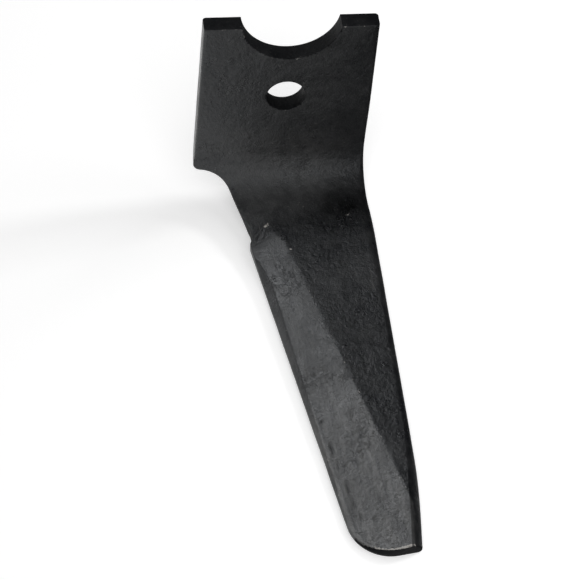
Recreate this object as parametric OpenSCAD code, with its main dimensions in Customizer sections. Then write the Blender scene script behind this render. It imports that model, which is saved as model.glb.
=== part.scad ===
// Power harrow tine: one forged flat bar with a notched head, a cranked bend and a bevelled blade.
// The blade lies on its back along -Y, the head stands up behind it, and the origin is the pin hole's centre.

/* [Bar] */
// Width of the flat bar at the head
bar_w = 112; // [90:1:130]
// Thickness of the flat bar
bar_t = 12; // [10:0.5:16]
// Radius of the rolled long edges
edge_r = 4; // [1:0.5:4.5]

/* [Head] */
// Length of the head from its top edge to the start of the bend
head_len = 110; // [95:1:140]
// Diameter of the pin hole
hole_d = 25; // [16:0.5:32]
// Distance from the head's top edge to the middle of the pin hole
hole_drop = 60; // [52:1:75]
// Radius of the half round notch that clears the rotor hub
notch_r = 32; // [24:0.5:36]
// Height of the notch's centre above the head's top edge
notch_rise = 5; // [0:0.5:12]

/* [Bend] */
// Angle that the bar is cranked through
bend_angle = 82; // [70:1:92]
// Inside radius of the bend at the bar's right edge
bend_r = 30; // [22:1:45]
// Tilt of the bend's axis, which opens the bend towards the left edge
flare = 6; // [2:0.5:9]
// How much each face of the bar draws in where it is bent
bend_thinning = 0.15; // [0.05:0.05:0.3]

/* [Shoulder] */
// How far round the bend, up from the blade, the head's lower corner sits
shoulder_angle = 60; // [52:1:68]
// Radius of the hollow between the head's lower corner and the neck
shoulder_r = 24; // [18:0.5:26]
// Radius on the head's lower corner
corner_r = 3; // [1:0.5:5]
// How much the neck is waisted in from the blade's edge above the bevel
neck_in = 3; // [1:0.5:5]

/* [Blade] */
// Length of the blade from the end of the bend to the tip
blade_len = 250; // [220:1:290]
// Width of the blade at its root
blade_w = 83.5; // [79:0.5:87]
// Distance from the blade's root to where its right edge starts to taper
right_start = 6; // [3:1:40]
// Taper of the blade's right edge
right_taper = 4.25; // [2:0.25:6]
// Taper of the blade's left edge
left_taper = 4.75; // [2:0.25:5.5]
// Length of the last stretch of the right edge, which leans in more to the tip
tip_len = 45; // [30:1:80]
// Taper of that last stretch
tip_taper = 9.75; // [7:0.25:14]
// Radius of the tip's left corner
tip_r = 28; // [15:1:34]

/* [Bevel] */
// Slope of the forged bevel on the blade's front
bevel_angle = 12; // [8:0.5:13]
// Distance from the blade's root to the top of the bevel
bevel_start = 10; // [5:1:30]
// Width of the bevel at its top
bevel_w = 21.5; // [15:0.5:28]
// Angle that the bevel's ridge makes with the blade's length
ridge_angle = 10.5; // [8:0.5:12]
// Radius of the run-out at the top of the bevel
runout_r = 8; // [4:0.5:14]
// Height of the blunt edge's foot above the blade's back
land_h = 2.5; // [2:0.25:3.5]
// Slope of the narrow face that blunts the left edge
land_angle = 45; // [35:1:60]
// Radius of the run-out at the top of that face
land_runout_r = 30; // [15:1:40]

/* [Hidden] */
$fn = 96;
black_paint = "#2b2c2e";
// How far a cutter stands clear of what it cuts
clear = 2;
// Reach of the blade's side pieces past its middle line
reach = bar_w;
// Angle by which the bend's ends lie inside the head and the blade
lap_angle = 1.5;
// Angle of the bend at which the shoulder is trimmed square to the face
trim_angle = shoulder_angle * 2 / 3;

// Where the bend's axis crosses the plane of the blade's root, above the right edge
bend_axis = [bar_w / 2 + bend_r * sin(flare), 0, bar_t + bend_r * cos(flare)];
// Radius of the bend at mid thickness, above a place across the bar
function mid_radius(x) = bend_r + bar_t / 2 * cos(flare) + (bar_w / 2 - x) * sin(flare);
function turn_y(p, a) = [p.x * cos(a) + p.z * sin(a), p.y, p.z * cos(a) - p.x * sin(a)];
function turn_z(p, a) = [p.x * cos(a) - p.y * sin(a), p.x * sin(a) + p.y * cos(a), p.z];
// A point of the flat bar carried round the bend
function round_bend(p, a) = bend_axis
  + turn_y(turn_z(turn_y(p - bend_axis, -(90 + flare)), a), 90 + flare);
hole_centre = round_bend([0, head_len - hole_drop, bar_t / 2], bend_angle);

// The blade's left edge is a straight line, given by where it is at a distance below the root
root_left = bar_w / 2 - blade_w;
function left_edge(s) = root_left + s * tan(left_taper);

// The shoulder's outline in the plane square to the face at trim_angle: x across, y up the bar
corner_y = mid_radius(-bar_w / 2) * sin(shoulder_angle - trim_angle);
hollow_centre = [-bar_w / 2, corner_y - shoulder_r];
function trim_y(s, x) = -mid_radius(x) * sin(trim_angle) - s * cos(trim_angle);
neck_foot = [root_left + neck_in, trim_y(0, root_left)];
step_foot = [left_edge(bevel_start), trim_y(bevel_start, root_left)];
// The neck leaves the hollow as the tangent through its foot
to_hollow = hollow_centre - neck_foot;
neck_dir = atan2(to_hollow.y, to_hollow.x) - asin(shoulder_r / norm(to_hollow));
neck_len = sqrt(pow(norm(to_hollow), 2) - pow(shoulder_r, 2));
neck_top = neck_foot + neck_len * [cos(neck_dir), sin(neck_dir)];

// Where the last stretch of the right edge starts
tip_s = blade_len - tip_len;
tip_x = bar_w / 2 - (tip_s - right_start) * tan(right_taper);

// Cross-section of the bar, drawn in all round by a skin, with its back face at y = 0
module bar_section(skin) {
  r = edge_r - skin;
  translate([-bar_w / 2 + edge_r, skin])
    square([bar_w - 2 * edge_r, bar_t - 2 * skin]);
  translate([-bar_w / 2 + skin, edge_r])
    square([bar_w - 2 * skin, bar_t - 2 * edge_r]);
  for (x = [-1, 1], y = [edge_r, bar_t - edge_r])
    translate([x * (bar_w / 2 - edge_r), y])
      circle(r = r);
}

// One rolled edge at x = 0 with the bar reaching away to the left of it
module edge_section() {
  translate([-reach, 0])
    square([reach - edge_r, bar_t]);
  translate([-reach, edge_r])
    square([reach, bar_t - 2 * edge_r]);
  for (y = [edge_r, bar_t - edge_r])
    translate([-edge_r, y])
      circle(r = edge_r);
}

// Carries a piece of the flat bar round the bend
module at_bend(a) {
  translate(bend_axis)
    rotate([0, 90 + flare, 0])
      rotate([0, 0, a])
        rotate([0, -90 - flare, 0])
          translate(-bend_axis)
            children();
}

// Runs a section along the blade, from the local origin towards the tip
module down_blade(length) {
  rotate([90, 0, 0])
    linear_extrude(length)
      children();
}

module head_bar() {
  at_bend(bend_angle)
    translate([0, head_len, 0])
      down_blade(head_len)
        bar_section(0);
}

module bend_bar() {
  translate(bend_axis)
    rotate([0, 90 + flare, 0])
      rotate([0, 0, -lap_angle])
        rotate_extrude(angle = bend_angle + 2 * lap_angle)
          translate([bend_r, 0])
            rotate(flare)
              translate([bar_t, -bar_w / 2])
                rotate(90)
                  bar_section(bend_thinning);
}

// A half bar whose rolled edge passes through a point x across and s down the blade, and leans in
module half_bar(x, s, lean) {
  translate([x, -s, 0])
    rotate([0, 0, -lean])
      translate([0, blade_len, 0])
        down_blade(3 * blade_len)
          edge_section();
}

// The blade's outline is where its three right edges and its left edge all leave metal
module blade_bar() {
  intersection() {
    half_bar(bar_w / 2, 0, 0);
    half_bar(bar_w / 2, right_start, right_taper);
    half_bar(tip_x, tip_s, tip_taper);
    mirror([1, 0, 0])
      half_bar(-root_left, 0, left_taper);
    translate([-reach, -blade_len, -clear])
      cube([2 * reach, blade_len, bar_t + 2 * clear]);
  }
}

module notch() {
  at_bend(bend_angle)
    translate([0, head_len + notch_rise, -clear])
      cylinder(r = notch_r, h = bar_t + 2 * clear);
}

module pin_hole() {
  at_bend(bend_angle)
    translate([0, head_len - hole_drop, -clear])
      cylinder(d = hole_d, h = bar_t + 2 * clear);
}

// What is trimmed from the left of the bend to leave the shoulder and the neck
module shoulder_outline() {
  translate(hollow_centre)
    circle(r = shoulder_r);
  polygon([
    hollow_centre,
    neck_top,
    neck_foot,
    step_foot,
    step_foot + 4 * (step_foot - neck_foot),
    [-bar_w, trim_y(bevel_start, root_left) - bar_t],
    [-bar_w, corner_y],
    [-bar_w / 2, corner_y]
  ]);
  // Rounds the head's lower corner
  difference() {
    translate([-bar_w / 2 - clear, corner_y - clear])
      square(corner_r + clear);
    translate([-bar_w / 2 + corner_r, corner_y + corner_r])
      circle(r = corner_r);
  }
}

module shoulder_cut() {
  at_bend(trim_angle)
    translate([0, 0, -2 * bar_t])
      linear_extrude(4 * bar_t)
        shoulder_outline();
}

// A flat cutter along -Y with a rounded top end, above z = 0
module runout_cutter(length, radius) {
  rotate([90, 0, 90])
    translate([0, 0, -reach])
      linear_extrude(2 * reach) {
        translate([-length, 0])
          square([length, 2 * radius]);
        translate([0, radius])
          circle(r = radius);
      }
}

module bevel_cut() {
  translate([left_edge(bevel_start) + bevel_w, -bevel_start, bar_t])
    rotate([0, 0, ridge_angle])
      rotate([0, -bevel_angle, 0])
        runout_cutter(2 * blade_len, runout_r);
}

module land_cut() {
  translate([left_edge(bevel_start + runout_r), -bevel_start - runout_r, land_h])
    rotate([0, 0, left_taper])
      rotate([0, -land_angle, 0])
        intersection() {
          runout_cutter(2 * blade_len, land_runout_r);
          translate([-2 * bar_t, -2 * blade_len, -clear])
            cube([4 * bar_t, 3 * blade_len, 2 * bar_t]);
        }
}

module tip_corner_cut() {
  tip_centre = [left_edge(blade_len) + tip_r / cos(left_taper) - tip_r * tan(left_taper), tip_r - blade_len];
  translate([0, 0, -clear])
    linear_extrude(bar_t + 2 * clear)
      difference() {
        translate([tip_centre.x - 2 * tip_r, -blade_len - clear])
          square([2 * tip_r, tip_r + clear]);
        translate(tip_centre)
          circle(r = tip_r);
      }
}

module tine() {
  color(black_paint)
    translate(-hole_centre)
      difference() {
        union() {
          head_bar();
          bend_bar();
          blade_bar();
        }
        notch();
        pin_hole();
        shoulder_cut();
        bevel_cut();
        land_cut();
        tip_corner_cut();
      }
}

tine();
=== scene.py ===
import math

import bpy
import numpy as np
from mathutils import Matrix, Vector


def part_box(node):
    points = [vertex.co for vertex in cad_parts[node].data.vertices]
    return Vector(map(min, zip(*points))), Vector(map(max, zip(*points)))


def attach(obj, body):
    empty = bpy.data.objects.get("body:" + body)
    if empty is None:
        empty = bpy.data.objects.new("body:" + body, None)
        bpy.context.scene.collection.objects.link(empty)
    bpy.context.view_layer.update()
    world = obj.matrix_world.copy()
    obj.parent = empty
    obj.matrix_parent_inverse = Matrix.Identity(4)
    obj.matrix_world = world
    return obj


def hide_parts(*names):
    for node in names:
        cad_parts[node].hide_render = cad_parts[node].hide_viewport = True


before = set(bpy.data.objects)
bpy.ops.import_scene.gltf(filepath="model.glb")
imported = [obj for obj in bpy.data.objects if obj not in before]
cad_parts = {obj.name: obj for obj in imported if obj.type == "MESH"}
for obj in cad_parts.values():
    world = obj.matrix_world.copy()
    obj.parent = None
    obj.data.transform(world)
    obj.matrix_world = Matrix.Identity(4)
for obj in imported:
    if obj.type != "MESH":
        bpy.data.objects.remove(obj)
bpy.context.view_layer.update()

bl_info = {
    "name": "Forged Power Harrow Tine",
    "version": (1, 0, 0),
    "blender": (4, 5, 0),
    "location": "3D View > Sidebar > Tine",
    "description": "Dresses a forged power harrow tine and its pale studio",
    "category": "Object",
}

MM = 0.001
# Soft lamps: name, azimuth, elevation, distance, width and height, level, and what each gives, which is
# either light on matt surfaces or a gloss to reflect
LAMPS = (
    ("key_right", 82, 27, 1.7, (0.24, 0.24), 46.0, "light"),
    ("side_soft", 74, 45, 1.7, (1.1, 1.1), 2.9, "light"),
    ("fill_top", 192, 62, 2.6, (2.6, 2.2), 1.9, "light"),
    ("window_left", -38, 57, 1.6, (0.85, 0.65), 5.8, "gloss"),
    ("low_left", -66, 14, 1.6, (0.7, 0.5), 2.3, "gloss"),
    ("front_screen", 191, 22, 2.6, (2.2, 1.8), 1.40, "gloss"),
    ("back_ceiling", 8, 62, 1.9, (0.8, 0.45), 0.40, "gloss"),
)
TINE_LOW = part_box("tine")[0]
# Point on the ground that the camera and the lamps face
AIM = (-0.01614, -0.09317, TINE_LOW.z)
GROUND_HALF = 4.0
# White ground: its own grey, what is added to it for the camera, and the painted light added to it in reflections
PAPER = (0.86, 0.86, 0.86)
CAMERA_LIFT = 0.40
REFLECTION_PAINTED_LIGHT = 0.30
# Grey of the room that the steel reflects beyond the lamps
ROOM = (0.05, 0.05, 0.05, 1)
BLACK = (0.0, 0.0, 0.0)


def length(name, text, millimetres):
    """A size in the scene's metres, given in millimetres."""
    return bpy.props.FloatProperty(name=name, description=text, default=millimetres * MM, min=0.0,
                                   precision=4, unit="LENGTH")


def turn(name, text, degrees):
    """An angle, given in degrees."""
    return bpy.props.FloatProperty(name=name, description=text, default=math.radians(degrees),
                                   subtype="ANGLE", unit="ROTATION")


def share(name, text, value):
    """A share from 0 to 1."""
    return bpy.props.FloatProperty(name=name, description=text, default=value, min=0.0, max=1.0,
                                   subtype="FACTOR")


def paint(name, text, colour):
    """A colour with three linear parts."""
    return bpy.props.FloatVectorProperty(name=name, description=text, default=colour, size=3,
                                         min=0.0, max=1.0, subtype="COLOR")


class TineShape(bpy.types.PropertyGroup):
    """Sizes of the forging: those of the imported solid, and those of its finer edges"""
    bar_width: length("Bar width", "Width of the flat bar at the head", 112)
    bar_thickness: length("Bar thickness", "Thickness of the flat bar", 12)
    rolled_edge: length("Rolled edge", "Radius of the blade's right edge", 4)
    head_edge: length("Head edge", "Radius of the head's long edges", 2)
    crown: length("Crown", "How far the front falls away at the sides of the bend", 1.7)
    head_length: length("Head length", "From the top edge to the start of the bend", 110)
    hole_diameter: length("Hole diameter", "Diameter of the pin hole", 25)
    hole_drop: length("Hole drop", "From the head's top edge to the middle of the pin hole", 60)
    notch_radius: length("Notch radius", "Radius of the half-round notch", 32)
    notch_rise: length("Notch rise", "Height of the notch's centre above the top edge", 5)
    bend_angle: turn("Bend angle", "Angle that the bar is cranked through", 82)
    bend_radius: length("Bend radius", "Inside radius at the right edge", 30)
    flare: turn("Flare", "Tilt of the bend's axis", 6)
    shoulder_angle: turn("Shoulder angle", "Place of the head's lower corner round the bend", 60)
    shoulder_radius: length("Shoulder radius", "Radius of the hollow under the corner", 24)
    corner_radius: length("Corner radius", "Radius on the head's lower corner", 3)
    neck_in: length("Neck", "How far the neck is waisted in", 3)
    blade_length: length("Blade length", "From the bend to the tip", 250)
    blade_width: length("Blade width", "Width of the blade at its root", 83.5)
    right_start: length("Right start", "Where the right edge starts to taper", 6)
    right_taper: turn("Right taper", "Taper of the right edge", 4.25)
    left_taper: turn("Left taper", "Taper of the left edge", 4.75)
    tip_length: length("Tip length", "Last stretch of the right edge", 45)
    tip_taper: turn("Tip taper", "Taper of that last stretch", 9.75)
    tip_radius: length("Tip radius", "Radius of the tip's left corner", 28)
    bevel_slope: turn("Bevel slope", "Slope of the forged bevel", 12)
    bevel_start: length("Bevel start", "From the root to the top of the bevel", 10)
    bevel_fade: length("Bevel fade", "Length over which the bevel sinks to its full depth", 19)
    nose_roll: length("Nose roll", "Radius of the front's right edge near the tip", 6.6)
    bevel_width: length("Bevel width", "Width of the bevel at its top", 21.5)
    ridge_angle: turn("Ridge angle", "Angle of the bevel's ridge", 10.5)
    land_height: length("Land height", "Foot of the blunt edge above the back", 2.5)
    land_slope: turn("Land slope", "Slope of the face that blunts the edge", 45)
    lip: length("Lip", "Width of the broken edge round the hole and the notch", 0.35)


class TineFinish(bpy.types.PropertyGroup):
    """Colours and wear of the black steel"""
    steel_black: paint("Black", "Colour of the black finish", (0.0043, 0.0046, 0.0054))
    dusty_grey: paint("Dust", "Colour of the handling marks", (0.105, 0.104, 0.102))
    bare_steel: paint("Bare steel", "Colour of rubbed edges", (0.42, 0.40, 0.37))
    roughness: share("Roughness", "Roughness of the black finish", 0.33)
    wear: share("Wear", "How much the edges are rubbed", 0.9)


class TineStage(bpy.types.PropertyGroup):
    """Camera and studio"""
    elevation: turn("Elevation", "Camera's height over the floor", 57.14)
    azimuth: turn("Azimuth", "Camera's turn to the left of the blade", 11.85)
    distance: length("Distance", "From the camera to its aim", 2142)
    view_width: turn("View width", "Angle that the picture takes in", 10.05)


def smooth_step(x, low, high):
    """Rises from 0 at low to 1 at high as 3t^2 - 2t^3."""
    t = np.clip((x - low) / (high - low), 0.0, 1.0)
    return t * t * (3.0 - 2.0 * t)


def hump(x, centre, width):
    """A bell curve of height 1: exp(-((x - centre) / width)^2)."""
    return np.exp(-((x - centre) / width) ** 2)


def soft_min(a, b, k):
    """The lower of a and b, with their crossing rounded over a width of about k."""
    h = np.clip(0.5 + 0.5 * (b - a) / k, 0.0, 1.0)
    return b + (a - b) * h - k * h * (1.0 - h)


class Forging:
    """Where each point of the flat bar goes once the bar is bent. The flat frame has the blade's back on
    z = 0 and its root on y = 0, and the row's origin is the pin hole's centre."""

    def __init__(self, p):
        self.p = p
        self.half = p.bar_width / 2
        self.axis = np.array([math.cos(p.flare), 0.0, -math.sin(p.flare)])
        self.pivot = np.array([self.half + p.bend_radius * math.sin(p.flare), 0.0,
                               p.bar_thickness + p.bend_radius * math.cos(p.flare)])
        hole = np.array([0.0, p.head_length - p.hole_drop, p.bar_thickness / 2])
        self.hole = self.round_bend(hole, p.bend_angle)

    def round_bend(self, flat, angle):
        """Turns flat points about the bend's axis: the part along the axis stays, and the rest turns."""
        d = flat - self.pivot
        angle = np.asarray(angle)[..., None]
        along = (d @ self.axis)[..., None] * self.axis
        return self.pivot + d * np.cos(angle) + np.cross(self.axis, d) * np.sin(angle) \
            + along * (1.0 - np.cos(angle))

    def place(self, flat, angle):
        """Flat points turned round the bend and given from the pin hole's centre."""
        return self.round_bend(flat, angle) - self.hole

    def mid_radius(self, x):
        """Radius of the bend at mid thickness, above a place across the bar."""
        p = self.p
        return p.bend_radius + p.bar_thickness / 2 * math.cos(p.flare) + (self.half - x) * math.sin(p.flare)


def shoulder_outline(f):
    """The left edge round the bend, as x across and y up the bar in the plane square to the face at the
    trim angle: a small arc at the corner, the hollow's arc, and the neck as a tangent down to its foot."""
    p = f.p
    trim = p.shoulder_angle * 2 / 3
    corner = f.mid_radius(-f.half) * math.sin(p.shoulder_angle - trim)
    centre = np.array([-f.half, corner - p.shoulder_radius])
    root_left = f.half - p.blade_width
    foot = np.array([root_left + p.neck_in, -f.mid_radius(root_left) * math.sin(trim)])
    to = centre - foot
    reach = math.hypot(*to)
    lean = math.atan2(to[1], to[0]) - math.asin(p.shoulder_radius / reach)
    run = math.sqrt(reach ** 2 - p.shoulder_radius ** 2)
    top = foot + run * np.array([math.cos(lean), math.sin(lean)])
    c = p.corner_radius
    # The small arc and the hollow stop a little short of where they would meet
    a = np.linspace(math.pi, math.pi * 1.47, 10)
    small = np.stack([-f.half + c + c * np.cos(a), corner + c + c * np.sin(a)], 1)
    start = math.asin(1.2 * c / p.shoulder_radius)
    end = math.atan2(top[0] - centre[0], top[1] - centre[1])
    b = np.linspace(start, end, 26)
    hollow = centre + p.shoulder_radius * np.stack([np.sin(b), np.cos(b)], 1)
    neck = top + np.linspace(0, 1, 16)[1:, None] * (foot - top)
    return np.concatenate([small, hollow, neck]), trim


def stations(f):
    """Cross-sections from the head's top edge to the tip. Each has the flat bar's y, the angle round the
    bend, its left edge, its right edge and how far it is drawn in at an end."""
    p = f.p
    outline, trim = shoulder_outline(f)
    # Radii that the head's top edge and the tip's end are rounded to
    edge, worn = 0.7 * MM, 1.1 * MM
    q = np.linspace(0, math.pi / 2, 5)
    head_y = np.concatenate([p.head_length - edge + edge * np.cos(q), np.linspace(p.head_length - edge, 0, 54)[1:]])
    head_skin = np.concatenate([edge * (1 - np.sin(q)), np.zeros(53)])
    rows = [np.stack([head_y, np.full_like(head_y, p.bend_angle), np.full_like(head_y, -f.half), head_skin], 1)]
    # Round the bend down to the corner, then along the shoulder's outline to the root
    first = trim + math.asin(outline[0, 1] / f.mid_radius(-f.half))
    upper = np.linspace(p.bend_angle, first, 12)[1:-1]
    rows.append(np.stack([0 * upper, upper, np.full_like(upper, -f.half), 0 * upper], 1))
    lower = trim + np.arcsin(outline[:, 1] / f.mid_radius(outline[:, 0]))
    lower = np.maximum(lower, 0.0)
    rows.append(np.stack([0 * lower, lower, outline[:, 0], 0 * lower], 1))
    # Down the blade: the step from the neck to the left edge, the edge, the tip's arc and its worn end
    root_left = f.half - p.blade_width
    neck_x = root_left + p.neck_in

    def left_line(s):
        return root_left + s * math.tan(p.left_taper)

    s_top = np.linspace(0, p.bevel_start * 1.3, 22)[1:]
    step = smooth_step(s_top, p.bevel_start * 0.62, p.bevel_start * 1.05)
    x_top = neck_x * (1 - step) + left_line(s_top) * step
    tip_x = left_line(p.blade_length) + p.tip_radius * (1 / math.cos(p.left_taper) - math.tan(p.left_taper))
    tip_s = p.blade_length - p.tip_radius
    arc = np.linspace(p.left_taper, math.pi / 2 * 0.985, 34)
    s_arc = tip_s + p.tip_radius * np.sin(arc)
    x_arc = tip_x - p.tip_radius * np.cos(arc)
    s_mid = np.linspace(s_top[-1], s_arc[0], 176)[1:-1]
    keep = s_arc < p.blade_length - worn
    s_all = np.concatenate([s_top, s_mid, s_arc[keep]])
    x_all = np.concatenate([x_top, left_line(s_mid), x_arc[keep]])
    rows.append(np.stack([-s_all, 0 * s_all, x_all, 0 * s_all], 1))
    q = np.linspace(0, math.pi / 2, 6)
    s_end = p.blade_length - worn + worn * np.sin(q)
    x_end = tip_x - np.sqrt(np.maximum(p.tip_radius ** 2 - (s_end - tip_s) ** 2, 0))
    rows.append(np.stack([-s_end, 0 * s_end, x_end, worn * (1 - np.cos(q))], 1))
    table = np.concatenate(rows)
    return table[:, 0], table[:, 1], table[:, 2], table[:, 3], trim


def right_edge(f, s):
    """Straight as far as right_start, then two tapers that meet at the tip's last stretch, each joint
    rounded by a soft minimum."""
    p = f.p
    x = np.full_like(s, f.half)
    x = soft_min(x, f.half - (s - p.right_start) * math.tan(p.right_taper), 1.2 * MM)
    tip_s = p.blade_length - p.tip_length
    tip_x = f.half - (tip_s - p.right_start) * math.tan(p.right_taper)
    return np.minimum(soft_min(x, tip_x - (s - tip_s) * math.tan(p.tip_taper), 1.6 * MM), f.half)


def waves(x, y, wave, seed):
    """Gentle unevenness from 0 to 1: a sum of eight sine waves in random directions, near one length."""
    rng = np.random.default_rng(seed)
    total = np.zeros(np.broadcast(x, y).shape)
    for angle, phase, scale in rng.uniform([0, 0, 0.6], [math.pi, 2 * math.pi, 1.7], (8, 3)):
        total = total + np.sin((x * math.cos(angle) + y * math.sin(angle)) * 2 * math.pi * scale / wave + phase)
    return 0.5 + 0.5 * np.clip(total / 5.0, -1, 1)


def front_height(f, x, s, left):
    """Height of the bar's front over its back: the flat face, lowered to the bevel's plane on the left of
    the ridge, and near the left edge to the steep plane of the blunt edge. Each plane fades out at its top
    along a smooth step."""
    p = f.p
    crease, foot_crease = 0.28 * MM, 0.3 * MM
    top = np.full_like(x, p.bar_thickness)
    root_left = f.half - p.blade_width
    start_x = root_left + p.bevel_start * math.tan(p.left_taper) + p.bevel_width
    cos, sin = math.cos(p.ridge_angle), math.sin(p.ridge_angle)
    away = (start_x - x) * cos + (s - p.bevel_start) * sin
    # The bevel's top starts a little higher at the left edge than at the ridge
    lead = 0.07
    down = (start_x - x) * lead + (s - p.bevel_start) * cos
    sunk = smooth_step(down, -0.58 * p.bevel_fade, 0.42 * p.bevel_fade)
    bevel = p.bar_thickness - away * math.tan(p.bevel_slope) * sunk + crease * (1 - sunk)
    front = soft_min(top, bevel, crease)
    # The blunt edge's plane is lifted clear of the bevel at the top, and settles on its way down
    settle = 5.2 * MM * (1 - smooth_step(s, 4 * MM, 50 * MM))
    clear = 6 * MM * (1 - smooth_step(s, 12 * MM, 24 * MM))
    land = p.land_height + (x - left) * math.tan(p.land_slope) + (settle + clear)
    return soft_min(front, land, foot_crease), bevel - top


def dents(x, s):
    """Shallow flakes lost from the scale on the bevel, each a smooth oval hollow: x, s, half width, half
    length and depth in millimetres."""
    spots = ((-6.4, 170, 1.0, 6.5, 0.40), (-5.0, 182, 0.9, 4.0, 0.35), (-2.6, 199, 1.1, 7.0, 0.45),
             (-1.2, 211, 1.0, 4.5, 0.35), (1.2, 222, 0.9, 4.0, 0.30), (-8.3, 150, 1.3, 1.8, 0.35),
             (13.9, 166, 1.6, 1.4, 0.22), (11.0, 169, 1.3, 1.7, 0.22), (8.4, 108, 1.4, 1.4, 0.20),
             (10.0, 150, 0.8, 7.0, 0.20), (16, 176, 1.4, 3.0, 0.20), (9, 226, 2.0, 1.2, 0.22),
             (-9.4, 57, 0.7, 3.6, 0.22), (-13.2, 30, 0.7, 3.0, 0.22), (-8.6, 66, 0.7, 2.6, 0.2))
    depth = np.zeros_like(x)
    for cx, cs, rx, rs, d in spots:
        r = ((x - cx * MM) / (rx * MM)) ** 2 + ((s - cs * MM) / (rs * MM)) ** 2
        depth = np.maximum(depth, d * MM * (1 - smooth_step(r, 0.25, 1.3)))
    return depth


def across(first, r_first, turning, r_last, last, count_a, count_b):
    """x from the first edge to the last: quarter arcs at both ends, even steps up to the turning."""
    q = np.linspace(0, math.pi / 2, 9)
    lead = first[:, None] + r_first[:, None] * (1 - np.cos(q))
    a = np.linspace(0, 1, count_a)[1:]
    b = np.linspace(0, 1, count_b)[1:]
    start, stop = first + r_first, last - r_last
    mid_a = start[:, None] + (turning - start)[:, None] * a
    mid_b = turning[:, None] + (stop - turning)[:, None] * b
    tail = last[:, None] - r_last[:, None] * (1 - np.cos(q[::-1][1:]))
    return np.concatenate([lead, mid_a, mid_b, tail], 1)


def roll_off(x, first, r_first, last, r_last, power=2.0):
    """How far a rounded edge lies below the face: R(1 - (1 - u^q)^(1/q)), where u runs from 0 on the face
    to 1 at the wall. A power q of 2 is the edge's circle, and less is nearer to a chamfer."""
    a = np.clip(r_first[:, None] - (x - first[:, None]), 0, None) / r_first[:, None]
    b = np.clip(r_last[:, None] - (last[:, None] - x), 0, None) / r_last[:, None]
    return r_first[:, None] * (1 - np.sqrt(np.clip(1 - a ** 2, 0, 1))) \
        + r_last[:, None] * (1 - np.clip(1 - b ** power, 0, 1) ** (1 / power))


def finish_marks(f, x, s, lay, left, right, nose, bevel_gap):
    """How the finish varies over the front, as shares: the greyer tone of the bevel, rubbed edges, a film that is
    partly handling dust and partly painted light, and painted shade where the black looks deepest. Here lay runs
    along the bar from the root."""
    p = f.p
    from_left, from_right = x - left, right - x
    strip = 1 - smooth_step(from_left, 2.5 * MM, 5.0 * MM)
    lower = smooth_step(s, 40 * MM, 190 * MM)

    bevel = smooth_step(-bevel_gap, 0.0, 0.25 * MM) * smooth_step(s, 0, 24 * MM) \
        * (0.17 + 0.83 * smooth_step(s, 10 * MM, 190 * MM))
    # The tone stops at the rolled right edge, and is lost in the flakes and in the line beside the blunt edge
    line = hump(from_left, 4.4 * MM, 0.8 * MM) * smooth_step(s, 16 * MM, 30 * MM)
    bevel = bevel * smooth_step(from_right, 0.55 * nose, nose)
    bevel = bevel * (1 - 0.9 * np.clip(dents(x, lay) / (0.4 * MM), 0, 1))
    bevel = bevel * (1 - 0.6 * line) * (1 + 0.9 * strip * lower)

    # The ridge and the blunt left edge are rubbed a little, and the end of the blade most of all
    ridge = hump(bevel_gap, 0, 0.10 * MM) * smooth_step(s, 15 * MM, 24 * MM)
    tip_x = f.half - p.blade_width + p.blade_length * math.tan(p.left_taper) + p.tip_radius
    tip_s = p.blade_length - p.tip_radius
    round_tip = p.tip_radius - np.hypot(x - tip_x, np.maximum(s - tip_s, 0))
    from_tip = np.where(x < tip_x, round_tip, p.blade_length - s)
    end = (1 - smooth_step(from_tip, 1.2 * MM, 2.4 * MM)) \
        * smooth_step(s, p.blade_length - 15 * MM, p.blade_length - 2 * MM) \
        * smooth_step(from_right, 2 * MM, 9 * MM)
    wear = np.maximum(0.22 * ridge, np.maximum(0.12 * strip * lower, 0.68 * end))

    # A film, partly handling dust and partly painted light for the blade's reflection in the head: it lies on the
    # head and thickest round the bend, and thins out to both sides
    dust_and_painted_light = (1 - smooth_step(x, 16 * MM, 58 * MM)) * smooth_step(-lay, -8 * MM, 24 * MM)
    dust_and_painted_light = dust_and_painted_light * (0.75 + 1.15 * hump(lay, -56 * MM, 22 * MM))
    dust_and_painted_light = dust_and_painted_light * (1 - 0.55 * smooth_step(-x, 24 * MM, 52 * MM))

    # Painted shade: the colour is darkened in the bend's lower right end and along the middle of the flat face, for
    # the darker reflections there
    painted_shade = hump(x, 40 * MM, 24 * MM) * hump(lay, -8 * MM, 17 * MM) \
        + 0.7 * hump(x, 14 * MM, 20 * MM) * hump(lay, 96 * MM, 40 * MM)
    return {"bevel": bevel, "wear": wear, "dust_and_painted_light": dust_and_painted_light, "painted_shade": painted_shade}


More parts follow.
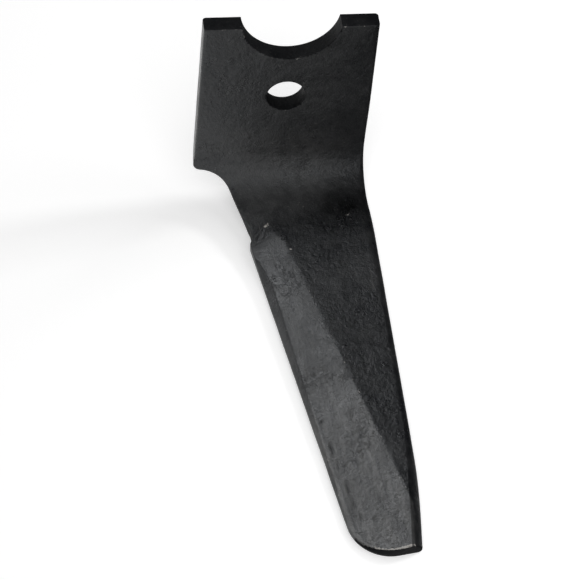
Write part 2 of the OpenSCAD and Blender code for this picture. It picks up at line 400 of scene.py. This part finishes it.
def tine_surface(f):
    """The forging as closed rings: front from left to right, right rolled edge, back from right to left,
    and left edge, swept along the stations. Returns points, faces and the finish's marks on the points."""
    p = f.p
    y, angle, left, skin, trim = stations(f)
    s = -y
    along = np.where(angle > 0, -f.mid_radius(0.0) * angle, s)
    along = np.where(y > 0, -f.mid_radius(0.0) * p.bend_angle - y, along)
    right = right_edge(f, np.where(angle > 0, 0.0, s))

    # Edge radii change from the head to the shoulder and from there to the blade
    on_head = smooth_step(angle, math.radians(59), math.radians(63))
    on_blade = smooth_step(along, 2 * MM, 12 * MM)
    shoulder_edge, blade_front, blade_back = 1.0 * MM, 0.7 * MM, 0.8 * MM
    upper_edge = shoulder_edge + (p.head_edge - shoulder_edge) * on_head
    front_left = upper_edge * (1 - on_blade) + blade_front * on_blade
    back_left = upper_edge * (1 - on_blade) + blade_back * on_blade
    roll = p.rolled_edge + (p.head_edge - p.rolled_edge) * smooth_step(angle, math.radians(20), math.radians(75))
    nosed = smooth_step(s * (angle == 0), 165 * MM, 215 * MM)
    nose = roll + (p.nose_roll - roll) * nosed
    back_roll = roll - 2 * MM * nosed

    # Both side edges waver a little, always inwards
    uneven = 0.14 * MM
    left = left + skin + uneven * waves(along * 0, along, 34 * MM, 5)
    right = right - skin - uneven * waves(along * 0, along, 41 * MM, 6)
    # The blunt edge is thin, so the tip's worn end draws in less from the front and the back
    skin = np.where(y < 0, 0.25, 1.0) * skin
    root_left = f.half - p.blade_width
    ridge = root_left + p.bevel_start * math.tan(p.left_taper) + p.bevel_width \
        + (np.maximum(s * (angle == 0), 0) - p.bevel_start) * math.tan(p.ridge_angle)
    ridge = np.clip(ridge, left + 8 * MM, right - nose - 0.3 * MM)

    x_front = across(left, front_left, ridge, nose, right, 46, 42)
    x_back = across(left, back_left, (left + right) / 2, back_roll, right, 26, 26)
    s_front = np.where(angle > 0, -1.0, s)[:, None] + 0 * x_front
    lay = along[:, None] + 0 * x_front
    lay_back = along[:, None] + 0 * x_back
    z_front, bevel_gap = front_height(f, x_front, s_front, left[:, None])
    nose_power = (2 - 0.65 * nosed)[:, None]
    z_front = z_front - roll_off(x_front, left, front_left, right, nose, nose_power) - skin[:, None]
    z_front = z_front - 0.16 * MM * waves(x_front, lay, 30 * MM, 1) - 0.05 * MM * waves(x_front, lay, 7 * MM, 2)
    z_front = z_front - dents(x_front, lay)
    # The bend leaves the front a little crowned: it falls away as the square of the way to the side, and
    # right of the middle a little as the fourth power all along
    bent = smooth_step(-along, -2 * MM, 18 * MM) * (1 - smooth_step(y, 2 * MM, 42 * MM))
    aside = np.clip(x_front / f.half, -1, 1)
    z_front = z_front - p.crown * aside ** 2 * bent[:, None] - 0.3 * MM * aside ** 4 * (x_front > 0)
    head_back = 0.15 * MM
    z_back = roll_off(x_back, left, back_left, right, back_roll) + skin[:, None] + head_back * (y > 0)[:, None]
    z_back = z_back + 0.06 * MM * waves(x_back, lay_back, 26 * MM, 3)

    walls = np.linspace(0, 1, 6)[1:-1]
    wall_r = z_front[:, -1:] + (z_back[:, -1:] - z_front[:, -1:]) * walls
    wall_l = z_back[:, :1] + (z_front[:, :1] - z_back[:, :1]) * walls
    x = np.concatenate([x_front, right[:, None] + 0 * wall_r, x_back[:, ::-1], left[:, None] + 0 * wall_l], 1)
    z = np.concatenate([z_front, wall_r, z_back[:, ::-1], wall_l], 1)
    flat = np.stack([x, y[:, None] + 0 * x, z], 2)

    # The shoulder's wall stands square to the face at the trim angle, so the sections lean with it there
    base = angle[:, None] + 0 * x
    ratio = f.mid_radius(x) / (p.bend_radius + (p.bar_thickness - z) * math.cos(p.flare)
                               + (f.half - x) * math.sin(p.flare))
    lean = trim + np.arcsin(np.clip(ratio * np.sin(base - trim), -1, 1)) - base
    fade = smooth_step(base, 0.0, math.radians(16)) * (1 - smooth_step(base, math.radians(64), math.radians(81)))
    points = f.place(flat, base + lean * fade)

    marks = {}
    front = finish_marks(f, x_front, s_front, lay, left[:, None], right[:, None], nose[:, None], bevel_gap)
    for name, share_of in front.items():
        marks[name] = np.zeros_like(x)
        marks[name][:, :x_front.shape[1]] = share_of
    rings, count = x.shape
    return points.reshape(-1, 3), ring_quads(rings, count), rings, count, marks


def ring_quads(rings, count):
    """Quads between neighbouring rings of points, each closed round."""
    i = np.arange(rings - 1)[:, None] * count
    j = np.arange(count)[None, :]
    k = (j + 1) % count
    return np.stack([i + j, i + count + j, i + count + k, i + k], 2).reshape(-1, 4)


def end_fans(rings, count):
    """Triangles that close the first and the last ring about two middle points, numbered after the rings."""
    j = np.arange(count)
    k = (j + 1) % count
    middle, last = rings * count + 0 * j, (rings - 1) * count
    return np.concatenate([np.stack([middle, j, k], 1), np.stack([middle + 1, last + k, last + j], 1)])


def mesh_object(name, points, faces, caps=()):
    """An object whose mesh holds the points, the faces and any end caps."""
    mesh = bpy.data.meshes.new(name)
    mesh.from_pydata(np.asarray(points).tolist(), [], np.asarray(faces).tolist() + [cap.tolist() for cap in caps])
    mesh.update()
    thing = bpy.data.objects.new(name, mesh)
    bpy.context.scene.collection.objects.link(thing)
    return thing


def lipped_cutter(f, name, radius, centre_y):
    """A drum that cuts a round hole through the head and breaks its two edges: a profile of radius over
    height is turned about the hole's axis, and widens as a quarter circle at each face."""
    p = f.p
    lip, t = p.lip, p.bar_thickness
    clear = 2 * MM
    q = np.linspace(0, math.pi / 2, 6)
    rise = lip * np.sin(q)
    widen = lip * (1 - np.cos(q))
    z = np.concatenate([[-clear], lip - rise[::-1], (t - lip) + rise, [t + clear]])
    r = radius + np.concatenate([[lip], widen[::-1], widen, [lip]])
    a = np.linspace(0, 2 * math.pi, 145)[:-1]
    x = r[:, None] * np.cos(a)
    y = centre_y + r[:, None] * np.sin(a)
    flat = np.stack([x, y, z[:, None] + 0 * x], 2)
    points = f.place(flat, p.bend_angle).reshape(-1, 3)
    rings, count = x.shape
    caps = [np.arange(count)[::-1], (rings - 1) * count + np.arange(count)]
    # The rings run the other way round than the forging's, so their quads are turned over
    return mesh_object(name, points, np.roll(ring_quads(rings, count)[:, ::-1], 1, axis=1), caps)


def carve(thing, cutter):
    """Subtracts the cutter from the thing and applies the result."""
    tool = thing.modifiers.new(cutter.name, "BOOLEAN")
    tool.operation = "DIFFERENCE"
    tool.solver = "EXACT"
    tool.object = cutter
    bpy.context.view_layer.update()
    done = bpy.data.meshes.new_from_object(thing.evaluated_get(bpy.context.evaluated_depsgraph_get()))
    thing.modifiers.clear()
    thing.data = done
    bpy.data.objects.remove(cutter)


def node(tree, kind, **values):
    """A new node with the given settings."""
    made = tree.nodes.new(kind)
    for key, value in values.items():
        setattr(made, key, value)
    return made


def attribute(tree, name):
    """One of the finish's marks, as the mesh carries it."""
    return node(tree, "ShaderNodeAttribute", attribute_name=name).outputs["Fac"]


def noise(tree, coords, scale, detail=3.0, rough=0.5, stretch=None):
    """Noise on object coordinates, with its scale in repeats per metre."""
    if stretch is not None:
        mapping = node(tree, "ShaderNodeMapping")
        mapping.inputs["Scale"].default_value = stretch
        tree.links.new(coords, mapping.inputs["Vector"])
        coords = mapping.outputs["Vector"]
    made = node(tree, "ShaderNodeTexNoise")
    made.inputs["Scale"].default_value = scale
    made.inputs["Detail"].default_value = detail
    made.inputs["Roughness"].default_value = rough
    tree.links.new(coords, made.inputs["Vector"])
    return made.outputs["Fac"]


def spread(tree, value, low, high, out_low=0.0, out_high=1.0):
    """Maps value from low..high to out_low..out_high, held at the ends."""
    made = node(tree, "ShaderNodeMapRange")
    made.clamp = True
    made.inputs["From Min"].default_value = low
    made.inputs["From Max"].default_value = high
    made.inputs["To Min"].default_value = out_low
    made.inputs["To Max"].default_value = out_high
    tree.links.new(value, made.inputs["Value"])
    return made.outputs["Result"]


def maths(tree, kind, a, b):
    """Arithmetic on two values, given as sockets or plain numbers."""
    made = node(tree, "ShaderNodeMath", operation=kind)
    for slot, value in zip(made.inputs, (a, b)):
        if isinstance(value, (int, float)):
            slot.default_value = value
        else:
            tree.links.new(value, slot)
    return made.outputs["Value"]


def mix(tree, fac, a, b):
    """Mixes two colours, given as sockets or plain colours."""
    made = node(tree, "ShaderNodeMix", data_type="RGBA")
    for slot, value in ((made.inputs[0], fac), (made.inputs[6], a), (made.inputs[7], b)):
        if isinstance(value, (int, float)):
            slot.default_value = value
        elif isinstance(value, tuple):
            slot.default_value = (*value, 1.0)
        else:
            tree.links.new(value, slot)
    return made.outputs[2]


def forge_scale_group():
    """Skin of a forging under thin black paint: broad mottling, fine grit, scattered pale specks, short
    handling scratches and a pattern of lifted scale, as masks and a height."""
    group = bpy.data.node_groups.new("forge_scale", "ShaderNodeTree")
    out = node(group, "NodeGroupOutput")
    coords = node(group, "ShaderNodeTexCoord").outputs["Object"]
    broad = spread(group, noise(group, coords, 22, 4, 0.55), 0.36, 0.66)
    cloud = spread(group, noise(group, coords, 110, 5, 0.65), 0.35, 0.7)
    mottle = maths(group, "ADD", maths(group, "MULTIPLY", broad, 0.5), maths(group, "MULTIPLY", cloud, 0.5))
    specks = spread(group, noise(group, coords, 520, 2, 0.6), 0.67, 0.76)
    lines = spread(group, noise(group, coords, 70, 2, 0.4, (12, 1, 12)), 0.66, 0.71)
    patch = spread(group, noise(group, coords, 26, 2, 0.5), 0.50, 0.60)
    scratch = maths(group, "MULTIPLY", lines, patch)
    # Scale lifts along the lines where a noise passes its middle value, and only in some places
    middle = maths(group, "SUBTRACT", noise(group, coords, 140, 4, 0.7), 0.5)
    rim = spread(group, maths(group, "ABSOLUTE", middle, 0.0), 0.0, 0.018)
    places = spread(group, noise(group, coords, 34, 2, 0.5), 0.50, 0.62)
    flake = maths(group, "MULTIPLY", maths(group, "SUBTRACT", 1.0, rim), places)
    grit = noise(group, coords, 1250, 3, 0.65)
    pebble = noise(group, coords, 420, 3, 0.6)
    lumps = noise(group, coords, 120, 4, 0.6)
    height = maths(group, "ADD", maths(group, "MULTIPLY", grit, 0.55), pebble)
    height = maths(group, "ADD", height, maths(group, "MULTIPLY", lumps, 2.0))
    height = maths(group, "SUBTRACT", height, maths(group, "MULTIPLY", flake, 0.3))
    masks = {"Mottle": mottle, "Speck": specks, "Scratch": scratch, "Flake": flake, "Height": height}
    for name, value in masks.items():
        group.interface.new_socket(name, in_out="OUTPUT", socket_type="NodeSocketFloat")
        group.links.new(value, out.inputs[name])
    return group


def steel_material(name, specular):
    """An empty steel material: its tree, its shader and the node that brings in the forging's skin."""
    material = bpy.data.materials.new(name)
    material.use_nodes = True
    tree = material.node_tree
    tree.nodes.clear()
    shader = node(tree, "ShaderNodeBsdfPrincipled")
    shader.inputs["Specular IOR Level"].default_value = specular
    shader.inputs["Specular Tint"].default_value = (0.94, 0.97, 1.0, 1.0)
    out = node(tree, "ShaderNodeOutputMaterial")
    tree.links.new(shader.outputs["BSDF"], out.inputs["Surface"])
    skin = node(tree, "ShaderNodeGroup")
    skin.node_tree = bpy.data.node_groups.get("forge_scale") or forge_scale_group()
    bump = node(tree, "ShaderNodeBump")
    bump.inputs["Strength"].default_value = 0.9
    bump.inputs["Distance"].default_value = 0.34 * MM
    tree.links.new(skin.outputs["Height"], bump.inputs["Height"])
    tree.links.new(bump.outputs["Normal"], shader.inputs["Normal"])
    return material, tree, shader, skin


def black_steel(look):
    """Black finish on forged steel: dark and half matt, mottled, greyer on the bevel, with pale specks,
    lifted scale and rubbed edges."""
    material, tree, shader, skin = steel_material("black_steel", 0.5)
    wear, bevel, dust_and_painted_light, painted_shade = (attribute(tree, name) for name in ("wear", "bevel", "dust_and_painted_light", "painted_shade"))
    coords = node(tree, "ShaderNodeTexCoord").outputs["Object"]
    dark, dust, bare = tuple(look.steel_black), tuple(look.dusty_grey), tuple(look.bare_steel)
    colour = mix(tree, spread(tree, skin.outputs["Mottle"], 0.32, 0.82, 0.0, 0.12), dark, dust)
    # Partly handling dust and partly painted light: the film's grey is laid on with a noise for its strength, most
    # round the bend
    dust_and_light_strength = spread(tree, noise(tree, coords, 150, 5, 0.7), 0.3, 0.7, 0.09, 0.26)
    colour = mix(tree, maths(tree, "MULTIPLY", dust_and_painted_light, dust_and_light_strength), colour, dust)
    streak = spread(tree, noise(tree, coords, 60, 5, 0.65, (3.5, 0.55, 1)), 0.36, 0.68, 0.14, 0.80)
    colour = mix(tree, maths(tree, "MULTIPLY", bevel, streak), colour, dust)
    colour = mix(tree, maths(tree, "MULTIPLY", skin.outputs["Speck"], 0.07), colour, bare)
    colour = mix(tree, maths(tree, "MULTIPLY", skin.outputs["Scratch"], 0.04), colour, bare)
    colour = mix(tree, maths(tree, "MULTIPLY", skin.outputs["Flake"], 0.35), colour, dark)
    # Painted shade: where the mark lies, the colour is darkened towards black and broken up by a cloud of noise
    cloud = spread(tree, noise(tree, coords, 90, 5, 0.7), 0.32, 0.68, 0.45, 1.25)
    colour = mix(tree, maths(tree, "MULTIPLY", painted_shade, cloud), colour, BLACK)
    broken = spread(tree, noise(tree, coords, 420, 4, 0.65), 0.25, 0.75, -0.45, 0.45)
    rubbed = spread(tree, maths(tree, "ADD", wear, broken), 0.36, 0.62, 0.0, look.wear)
    colour = mix(tree, rubbed, colour, bare)
    tree.links.new(colour, shader.inputs["Base Color"])
    rough = spread(tree, skin.outputs["Mottle"], 0.1, 0.9, look.roughness - 0.09, look.roughness + 0.12)
    tree.links.new(rough, shader.inputs["Roughness"])
    return material


def sheared_steel(look):
    """Dull black on the faces that were cut: deeper and rougher than the rest, with a few rubbed specks."""
    material, tree, shader, skin = steel_material("sheared_black", 0.10)
    dark, dust, bare = tuple(look.steel_black), tuple(look.dusty_grey), tuple(look.bare_steel)
    colour = mix(tree, spread(tree, skin.outputs["Mottle"], 0.2, 0.85, 0.0, 0.06), dark, dust)
    colour = mix(tree, maths(tree, "MULTIPLY", skin.outputs["Speck"], 0.12), colour, bare)
    tree.links.new(colour, shader.inputs["Base Color"])
    rough = spread(tree, skin.outputs["Mottle"], 0.1, 0.9, 0.46, 0.62)
    tree.links.new(rough, shader.inputs["Roughness"])
    return material


def edge_wear(f, points):
    """Wear on the head's sharp front edges: it falls off within a millimetre of the notch's, the hole's
    and the top edge's front lines, after the points are turned back into the flat bar."""
    p = f.p
    x, y, z = f.round_bend(points + f.hole, -p.bend_angle).T
    reach, most = 0.6 * MM, 0.27
    front = hump(z, p.bar_thickness, 0.7 * MM)
    notch = np.abs(np.hypot(x, y - p.head_length - p.notch_rise) - p.notch_radius - p.lip)
    hole = np.abs(np.hypot(x, y - p.head_length + p.hole_drop) - p.hole_diameter / 2 - p.lip)
    top = np.abs(y - p.head_length + 0.3 * MM)
    near = np.maximum(hump(notch, 0, reach), hump(top, 0, reach))
    near = np.maximum(near, 0.5 * hump(hole, 0, reach))
    return most * near * front


def chips(f, points):
    """Bare spots where the finish has flaked: each falls off as a bell curve of the distance to its centre,
    given in the flat frame as x, y, z and radius in millimetres, and a strength."""
    spots = ((-13.7, -0.8, 12, 1.5, 1.0), (-12.6, 0.6, 12, 1.0, 0.9), (-3.4, -15.8, 12, 0.9, 1.0),
             (28.6, -3.2, 12, 1.0, 0.6), (31.0, -1.8, 12, 0.8, 0.5), (39.5, -2.3, 12, 1.2, 0.7),
             (42.2, -1.4, 12, 0.8, 0.6), (9.9, 9.5, 13.3, 0.8, 0.5), (-24.4, -1.0, 10.5, 1.0, 0.9),
             (-24.6, -3.6, 8.5, 1.0, 1.0), (-24.4, 1.8, 11, 0.8, 0.6), (-2.0, -21.5, 11.8, 0.7, 0.7))
    most = 0.74
    bare = np.zeros(len(points))
    for x, y, z, r, amount in spots:
        away = np.linalg.norm(points + f.hole - np.array([x, y, z]) * MM, axis=1)
        bare = np.maximum(bare, amount * hump(away, 0, r * MM))
    return most * bare


def sheared_faces(f, mesh):
    """Material index 1 on the faces that a press has cut: the walls of the hole, the notch and the shoulder,
    the head's top and the tip's end. They are found from the face centres in the flat bar."""
    p = f.p
    centre = np.zeros(len(mesh.polygons) * 3, np.float32)
    normal = np.zeros(len(mesh.polygons) * 3, np.float32)
    mesh.polygons.foreach_get("center", centre)
    mesh.polygons.foreach_get("normal", normal)
    centre = centre.reshape(-1, 3).astype(float)
    normal = normal.reshape(-1, 3)
    near = 0.3 * MM
    x, y, z = f.round_bend(centre + f.hole, -p.bend_angle).T
    head = np.abs(z - p.bar_thickness / 2) < p.bar_thickness
    hole = np.hypot(x, y - p.head_length + p.hole_drop) < p.hole_diameter / 2 + near
    notch = np.hypot(x, y - p.head_length - p.notch_rise) < p.notch_radius + near
    top = y > p.head_length - near
    x, y, z = (centre + f.hole).T
    tip = (-y > p.blade_length - 16 * MM) & (np.abs(normal[:, 2]) < 0.62) & (normal[:, 1] < -0.3)
    # The shoulder's wall is square to the face at the trim angle, and lies left of the neck
    trim = p.shoulder_angle * 2 / 3
    facing = np.abs(normal @ np.array([0, -math.sin(trim), math.cos(trim)]))
    shoulder = (facing < 0.45) & (x < -18 * MM) & (z < 40 * MM) & (y > -9 * MM) & (y < 45 * MM)
    return (head & (hole | notch | top) | tip | shoulder).astype(np.int32)


class OBJECT_OT_forge_tine(bpy.types.Operator):
    """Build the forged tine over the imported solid"""
    bl_idname = "object.forge_tine"
    bl_label = "Forge Tine"

    def execute(self, context):
        f = Forging(context.scene.tine_shape)
        points, quads, rings, count, marks = tine_surface(f)
        middles = np.stack([points[:count].mean(0), points[-count:].mean(0)])
        tine = mesh_object("forged_tine", np.concatenate([points, middles]), quads, end_fans(rings, count))
        for name, values in marks.items():
            layer = tine.data.attributes.new(name, "FLOAT", "POINT")
            layer.data.foreach_set("value", np.append(values.reshape(-1), [0, 0]).astype(np.float32))
        p = f.p
        carve(tine, lipped_cutter(f, "notch_cutter", p.notch_radius, p.head_length + p.notch_rise))
        carve(tine, lipped_cutter(f, "hole_cutter", p.hole_diameter / 2, p.head_length - p.hole_drop))
        mesh = tine.data
        at = np.zeros(len(mesh.vertices) * 3, np.float32)
        mesh.vertices.foreach_get("co", at)
        layer = mesh.attributes["wear"]
        worn = np.zeros(len(mesh.vertices), np.float32)
        layer.data.foreach_get("value", worn)
        at = at.reshape(-1, 3).astype(float)
        worn = np.maximum(np.maximum(worn, edge_wear(f, at)), chips(f, at))
        layer.data.foreach_set("value", worn.astype(np.float32))
        mesh.shade_smooth()
        mesh.set_sharp_from_angle(angle=math.radians(38))
        mesh.materials.clear()
        mesh.materials.append(black_steel(context.scene.tine_finish))
        mesh.materials.append(sheared_steel(context.scene.tine_finish))
        mesh.polygons.foreach_set("material_index", sheared_faces(f, mesh))
        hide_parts("tine")
        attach(tine, "root")
        return {"FINISHED"}


def floor_material():
    """White ground: matt, and lifted to full white for the camera. In reflections its colour falls off to the
    right as painted shade, and on the left it glows as painted light."""
    material = bpy.data.materials.new("white_ground")
    material.use_nodes = True
    tree = material.node_tree
    tree.nodes.clear()
    matt = node(tree, "ShaderNodeBsdfDiffuse")
    lift = node(tree, "ShaderNodeEmission")
    path = node(tree, "ShaderNodeLightPath")
    both = node(tree, "ShaderNodeAddShader")
    out = node(tree, "ShaderNodeOutputMaterial")
    across = node(tree, "ShaderNodeSeparateXYZ")
    tree.links.new(node(tree, "ShaderNodeTexCoord").outputs["Object"], across.inputs[0])
    # Painted shade: in reflections the ground's colour is darkened towards the right
    shade = spread(tree, across.outputs["X"], -0.005, 0.065, 0.0, 0.93)
    bright = maths(tree, "MULTIPLY", maths(tree, "SUBTRACT", 1.0, shade), path.outputs["Is Glossy Ray"])
    shade = maths(tree, "MULTIPLY", shade, path.outputs["Is Glossy Ray"])
    tree.links.new(mix(tree, shade, PAPER, BLACK), matt.inputs["Color"])
    # Painted light: in reflections the ground glows on the left
    lifted = maths(tree, "ADD", maths(tree, "MULTIPLY", path.outputs["Is Camera Ray"], CAMERA_LIFT),
                   maths(tree, "MULTIPLY", bright, REFLECTION_PAINTED_LIGHT))
    tree.links.new(lifted, lift.inputs["Strength"])
    tree.links.new(matt.outputs[0], both.inputs[0])
    tree.links.new(lift.outputs[0], both.inputs[1])
    tree.links.new(both.outputs[0], out.inputs["Surface"])
    return material


def softbox(name, aim, azimuth, elevation, distance, size, level):
    """A rectangular lamp that faces the aim. Azimuth runs from +Y towards +X, and level is how bright its
    surface looks, where white paper is 1, so its power is level times pi times its area."""
    lamp = bpy.data.lights.new(name, "AREA")
    lamp.shape = "RECTANGLE"
    lamp.size, lamp.size_y = size
    lamp.energy = level * math.pi * size[0] * size[1]
    thing = bpy.data.objects.new(name, lamp)
    bpy.context.scene.collection.objects.link(thing)
    az, el = math.radians(azimuth), math.radians(elevation)
    toward = np.array([math.sin(az) * math.cos(el), math.cos(az) * math.cos(el), math.sin(el)])
    thing.location = aim + toward * distance
    thing.rotation_euler = Matrix(look_matrix(-toward)).to_euler()
    return thing


def look_matrix(forward):
    """Rotation whose -Z looks along forward and whose Y stays as near up as it can."""
    fw = np.array(forward, float)
    fw = fw / np.linalg.norm(fw)
    side = np.cross(fw, (0, 0, 1))
    side = side / np.linalg.norm(side)
    up = np.cross(side, fw)
    return np.stack([side, up, -fw], 1).tolist()


class SCENE_OT_tine_stage(bpy.types.Operator):
    """Set the white ground, the soft lamps and the camera"""
    bl_idname = "scene.tine_stage"
    bl_label = "Tine Stage"

    def execute(self, context):
        scene = context.scene
        stage = scene.tine_stage
        w, ground = GROUND_HALF, TINE_LOW.z
        corners = [(-w, -w, ground), (w, -w, ground), (w, w, ground), (-w, w, ground)]
        floor = mesh_object("white_ground", corners, [(0, 1, 2, 3)])
        floor.data.materials.append(floor_material())
        aim = np.array(AIM)
        cos = math.cos(stage.elevation)
        forward = np.array([math.sin(stage.azimuth) * cos, math.cos(stage.azimuth) * cos, -math.sin(stage.elevation)])
        camera = bpy.data.objects.new("camera", bpy.data.cameras.new("camera"))
        scene.collection.objects.link(camera)
        sensor = 36
        camera.data.sensor_width = sensor
        camera.data.lens = sensor / 2 / math.tan(stage.view_width / 2)
        camera.location = aim - forward * stage.distance
        camera.rotation_euler = Matrix(look_matrix(forward)).to_euler()
        camera.data.clip_end = 20
        scene.camera = camera
        for name, azimuth, elevation, distance, size, level, gives in LAMPS:
            lamp = softbox(name, aim, azimuth, elevation, distance, size, level)
            lamp.visible_glossy = gives != "light"
            lamp.visible_diffuse = gives != "gloss"
        world = bpy.data.worlds.new("studio")
        scene.world = world
        world.use_nodes = True
        tree = world.node_tree
        tree.nodes.clear()
        path = node(tree, "ShaderNodeLightPath")
        shine = node(tree, "ShaderNodeBackground")
        shine.inputs["Color"].default_value = ROOM
        seen = node(tree, "ShaderNodeBackground")
        seen.inputs["Color"].default_value = (1, 1, 1, 1)
        pick = node(tree, "ShaderNodeMixShader")
        out = node(tree, "ShaderNodeOutputWorld")
        tree.links.new(path.outputs["Is Camera Ray"], pick.inputs[0])
        tree.links.new(shine.outputs[0], pick.inputs[1])
        tree.links.new(seen.outputs[0], pick.inputs[2])
        tree.links.new(pick.outputs[0], out.inputs["Surface"])
        scene.view_settings.view_transform = "Standard"
        return {"FINISHED"}


class VIEW3D_PT_tine(bpy.types.Panel):
    """Lists the tine's sizes, finish and stage"""
    bl_label = "Power Harrow Tine"
    bl_idname = "VIEW3D_PT_tine"
    bl_space_type = "VIEW_3D"
    bl_region_type = "UI"
    bl_category = "Tine"

    def draw(self, context):
        scene = context.scene
        for group in (scene.tine_shape, scene.tine_finish, scene.tine_stage):
            box = self.layout.box()
            for key in group.bl_rna.properties.keys():
                if key not in ("rna_type", "name"):
                    box.prop(group, key)
        self.layout.operator("object.forge_tine")
        self.layout.operator("scene.tine_stage")


CLASSES = (TineShape, TineFinish, TineStage, OBJECT_OT_forge_tine, SCENE_OT_tine_stage, VIEW3D_PT_tine)


def register():
    for cls in CLASSES:
        bpy.utils.register_class(cls)
    bpy.types.Scene.tine_shape = bpy.props.PointerProperty(type=TineShape)
    bpy.types.Scene.tine_finish = bpy.props.PointerProperty(type=TineFinish)
    bpy.types.Scene.tine_stage = bpy.props.PointerProperty(type=TineStage)


def unregister():
    del bpy.types.Scene.tine_shape
    del bpy.types.Scene.tine_finish
    del bpy.types.Scene.tine_stage
    for cls in reversed(CLASSES):
        bpy.utils.unregister_class(cls)


def main():
    """Builds the tine and its stage."""
    register()
    bpy.ops.object.forge_tine()
    bpy.ops.scene.tine_stage()


if __name__ == "__main__":
    main()
